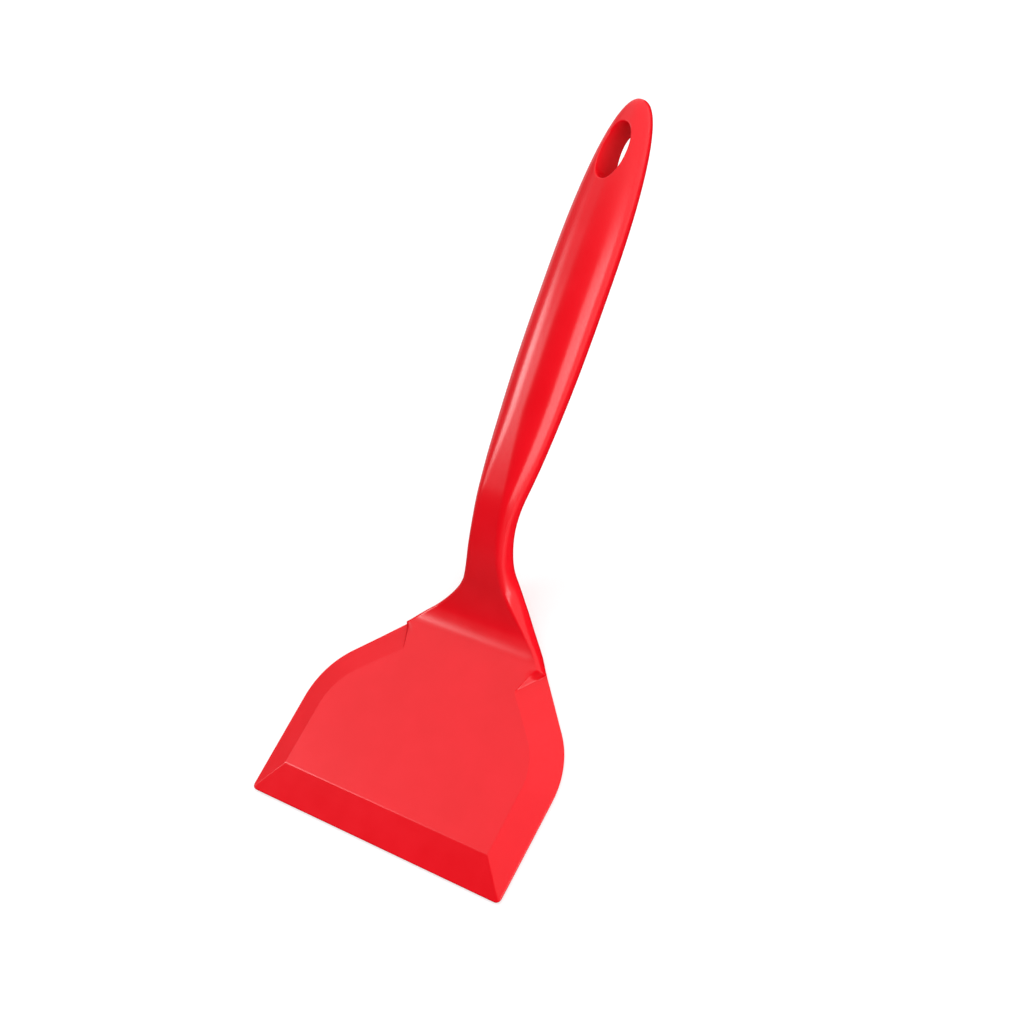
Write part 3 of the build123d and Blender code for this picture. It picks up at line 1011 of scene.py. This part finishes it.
class StageSettings(bpy.types.PropertyGroup):
    floor_colour: FloatVectorProperty(
        name="Floor colour", description="Paint of the pale floor", subtype="COLOR", size=3,
        min=0, max=1, default=(0.60, 0.60, 0.60),
    )
    left_power: FloatProperty(name="Left softbox", description="Power of the left softbox", default=10.9)
    right_power: FloatProperty(name="Right softbox", description="Power of the right softbox", default=12.6)
    wall_level: FloatProperty(name="Wall light", description="Strength of the wall behind", default=1.4)
    room_level: FloatProperty(name="Room light", description="Strength of the room in front", default=0.22)
    front_level: FloatProperty(name="Front light", description="Strength of a low front glow", default=0.72)
    dim_level: FloatProperty(name="Dim room", description="The room in front, seen in gloss", default=0.03)


class TURNER_OT_cover(bpy.types.Operator):
    """Make the silicone skin: blade, neck and handle in one closed mesh, with the hanging hole"""

    bl_idname = "turner.cover"
    bl_label = "Silicone cover"

    def execute(self, context):
        settings = context.scene.turner_cover
        data = build_skin(settings)
        data.transform(Matrix.Translation((0, TIP_EDGE_Y, 0)))
        work = bmesh.new()
        work.from_mesh(data)
        bmesh.ops.recalc_face_normals(work, faces=work.faces)
        open_edges = [edge for edge in work.edges if not edge.is_manifold]
        volume = work.calc_volume(signed=True)
        work.to_mesh(data)
        work.free()
        if open_edges or volume <= 0:
            raise RuntimeError(f"the skin isn't closed: {len(open_edges)} open edges, volume {volume}")
        data.shade_smooth()
        place_piece("cover_skin", data, red_silicone(settings), "root", "silicone_cover")
        return {"FINISHED"}


class TURNER_OT_steel_core(bpy.types.Operator):
    """Give the hidden plate and handle bar their brushed steel"""

    bl_idname = "turner.steel_core"
    bl_label = "Steel core"

    def execute(self, context):
        tone = tuple(context.scene.turner_core.tone)
        finishes = {
            "blade_plate": brushed_steel("sheet_steel", tone, PLATE_ROUGHNESS, PLATE_BRUSH),
            "handle_core": brushed_steel("bar_steel", tone, BAR_ROUGHNESS, BAR_BRUSH),
        }
        for name, material in finishes.items():
            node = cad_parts[name]
            node.data.materials.clear()
            node.data.materials.append(material)
        return {"FINISHED"}


class TURNER_OT_rivets(bpy.types.Operator):
    """Make the rivets that hold the handle's tang to the plate"""

    bl_idname = "turner.rivets"
    bl_label = "Core rivets"

    def execute(self, context):
        settings = context.scene.turner_rivets
        steel = brushed_steel("rivet_metal", tuple(settings.tone), RIVET_ROUGHNESS, RIVET_BRUSH)
        data = rivet_mesh(settings, steel)
        if not data.polygons:
            raise RuntimeError("no rivet was made")
        place_piece("rivet_set", data, steel, "root", "core_rivets")
        return {"FINISHED"}


class TURNER_OT_stage(bpy.types.Operator):
    """Set the pale floor, the soft lamps, the room's light and the camera"""

    bl_idname = "turner.stage"
    bl_label = "Stage"

    def execute(self, context):
        settings = context.scene.turner_stage
        lay_floor(settings)
        hang_lamp("left_softbox", *LEFT_SOFTBOX, settings.left_power)
        hang_lamp("right_softbox", *RIGHT_SOFTBOX, settings.right_power)
        light_room(settings)
        set_camera(context.scene)
        return {"FINISHED"}


def lay_floor(settings):
    """A wide floor, a hair below the blade."""
    data = bpy.data.meshes.new("floor")
    size = FLOOR_HALF_SIZE
    corners = [(x, y, -FLOOR_DROP) for x, y in ((-size, -size), (size, -size), (size, size), (-size, size))]
    data.from_pydata(corners, [], [(0, 1, 2, 3)])
    data.materials.append(backdrop_paint(tuple(settings.floor_colour)))
    floor = bpy.data.objects.new("floor", data)
    bpy.context.scene.collection.objects.link(floor)


def hang_lamp(name, direction, side, distance, size, power):
    """A soft rectangular lamp that faces the middle of the object, with one side along a line."""
    lamp = bpy.data.lights.new(name, "AREA")
    lamp.shape = "RECTANGLE"
    lamp.size, lamp.size_y = size
    lamp.energy = power
    holder = bpy.data.objects.new(name, lamp)
    bpy.context.scene.collection.objects.link(holder)
    back = Vector(direction).normalized()
    line = Vector(side)
    along = (line - back * back.dot(line)).normalized()
    turn = Matrix((along.cross(back), along, back)).transposed().to_4x4()
    holder.matrix_world = Matrix.Translation(back * distance) @ turn
    holder.visible_camera = False


def light_room(settings):
    """A bright wall behind the object and a dim room in front of it. Seen past the object, it is white."""
    world = bpy.data.worlds.new("pale_room")
    bpy.context.scene.world = world
    world.use_nodes = True
    tree = world.node_tree
    tree.nodes.clear()
    start = Socket(tree, None)
    way = start.node("ShaderNodeTexCoord", output="Generated")
    left_end = (0.0 - way.part("X")).held(*WALL_END_BAND)
    wall = way.part("Y").held(*WALL_BAND)
    front = settings.room_level + (1.0 - way.part("Z").held(*FRONT_GLOW_BAND)) * settings.front_level
    level = front + wall * (settings.wall_level - front)
    camera, glass, gloss = seen_rays(start)
    in_gloss = settings.dim_level + wall * (1.0 - left_end * WALL_END_DIMMING) * (1.0 - settings.dim_level)
    strength = level + camera.larger(glass) * (1.0 - level) + gloss * (in_gloss - level)
    light = start.node("ShaderNodeBackground", Color=(1, 1, 1, 1), Strength=strength)
    start.node("ShaderNodeOutputWorld", Surface=light)


def set_camera(scene):
    """The camera that the photograph was taken from."""
    lens = bpy.data.cameras.new("photo_camera")
    lens.sensor_fit = "HORIZONTAL"
    lens.sensor_width = SENSOR_WIDTH
    lens.lens = SENSOR_WIDTH * FOCAL_PIXELS / PHOTO_PIXELS
    lens.shift_x = -HALF_PIXEL
    lens.shift_y = HALF_PIXEL
    lens.clip_start = CLIP_START
    lens.clip_end = CLIP_END
    camera = bpy.data.objects.new("photo_camera", lens)
    scene.collection.objects.link(camera)
    turn = Matrix((CAMERA_RIGHT, CAMERA_UP, CAMERA_BACK)).transposed().to_4x4()
    place = CAMERA_FROM_TIP + Vector((0, TIP_EDGE_Y, 0))
    camera.matrix_world = Matrix.Translation(place) @ turn
    scene.camera = camera
    scene.view_settings.view_transform = "Standard"


class TURNER_PT_panel(bpy.types.Panel):
    """Lists the turner's pieces in the 3D view's sidebar"""

    bl_idname = "TURNER_PT_panel"
    bl_label = "Silicone turner"
    bl_space_type = "VIEW_3D"
    bl_region_type = "UI"
    bl_category = "Turner"

    def draw(self, context):
        for group, operator in GROUPS:
            box = self.layout.box()
            settings = getattr(context.scene, group)
            for name in settings.__annotations__:
                box.prop(settings, name)
            box.operator(operator.bl_idname)


GROUPS = (
    ("turner_cover", TURNER_OT_cover),
    ("turner_core", TURNER_OT_steel_core),
    ("turner_rivets", TURNER_OT_rivets),
    ("turner_stage", TURNER_OT_stage),
)
SETTINGS = {
    "turner_cover": SiliconeSkinSettings,
    "turner_core": SteelCoreSettings,
    "turner_rivets": RivetSettings,
    "turner_stage": StageSettings,
}
CLASSES = (*SETTINGS.values(), *[operator for _, operator in GROUPS], TURNER_PT_panel)


def register():
    for made in CLASSES:
        bpy.utils.register_class(made)
    for name, group in SETTINGS.items():
        setattr(bpy.types.Scene, name, PointerProperty(type=group))


def unregister():
    for name in SETTINGS:
        delattr(bpy.types.Scene, name)
    for made in reversed(CLASSES):
        bpy.utils.unregister_class(made)


def main():
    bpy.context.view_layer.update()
    register()
    bpy.ops.turner.cover()
    bpy.ops.turner.steel_core()
    bpy.ops.turner.rivets()
    bpy.ops.turner.stage()


if __name__ == "__main__":
    main()
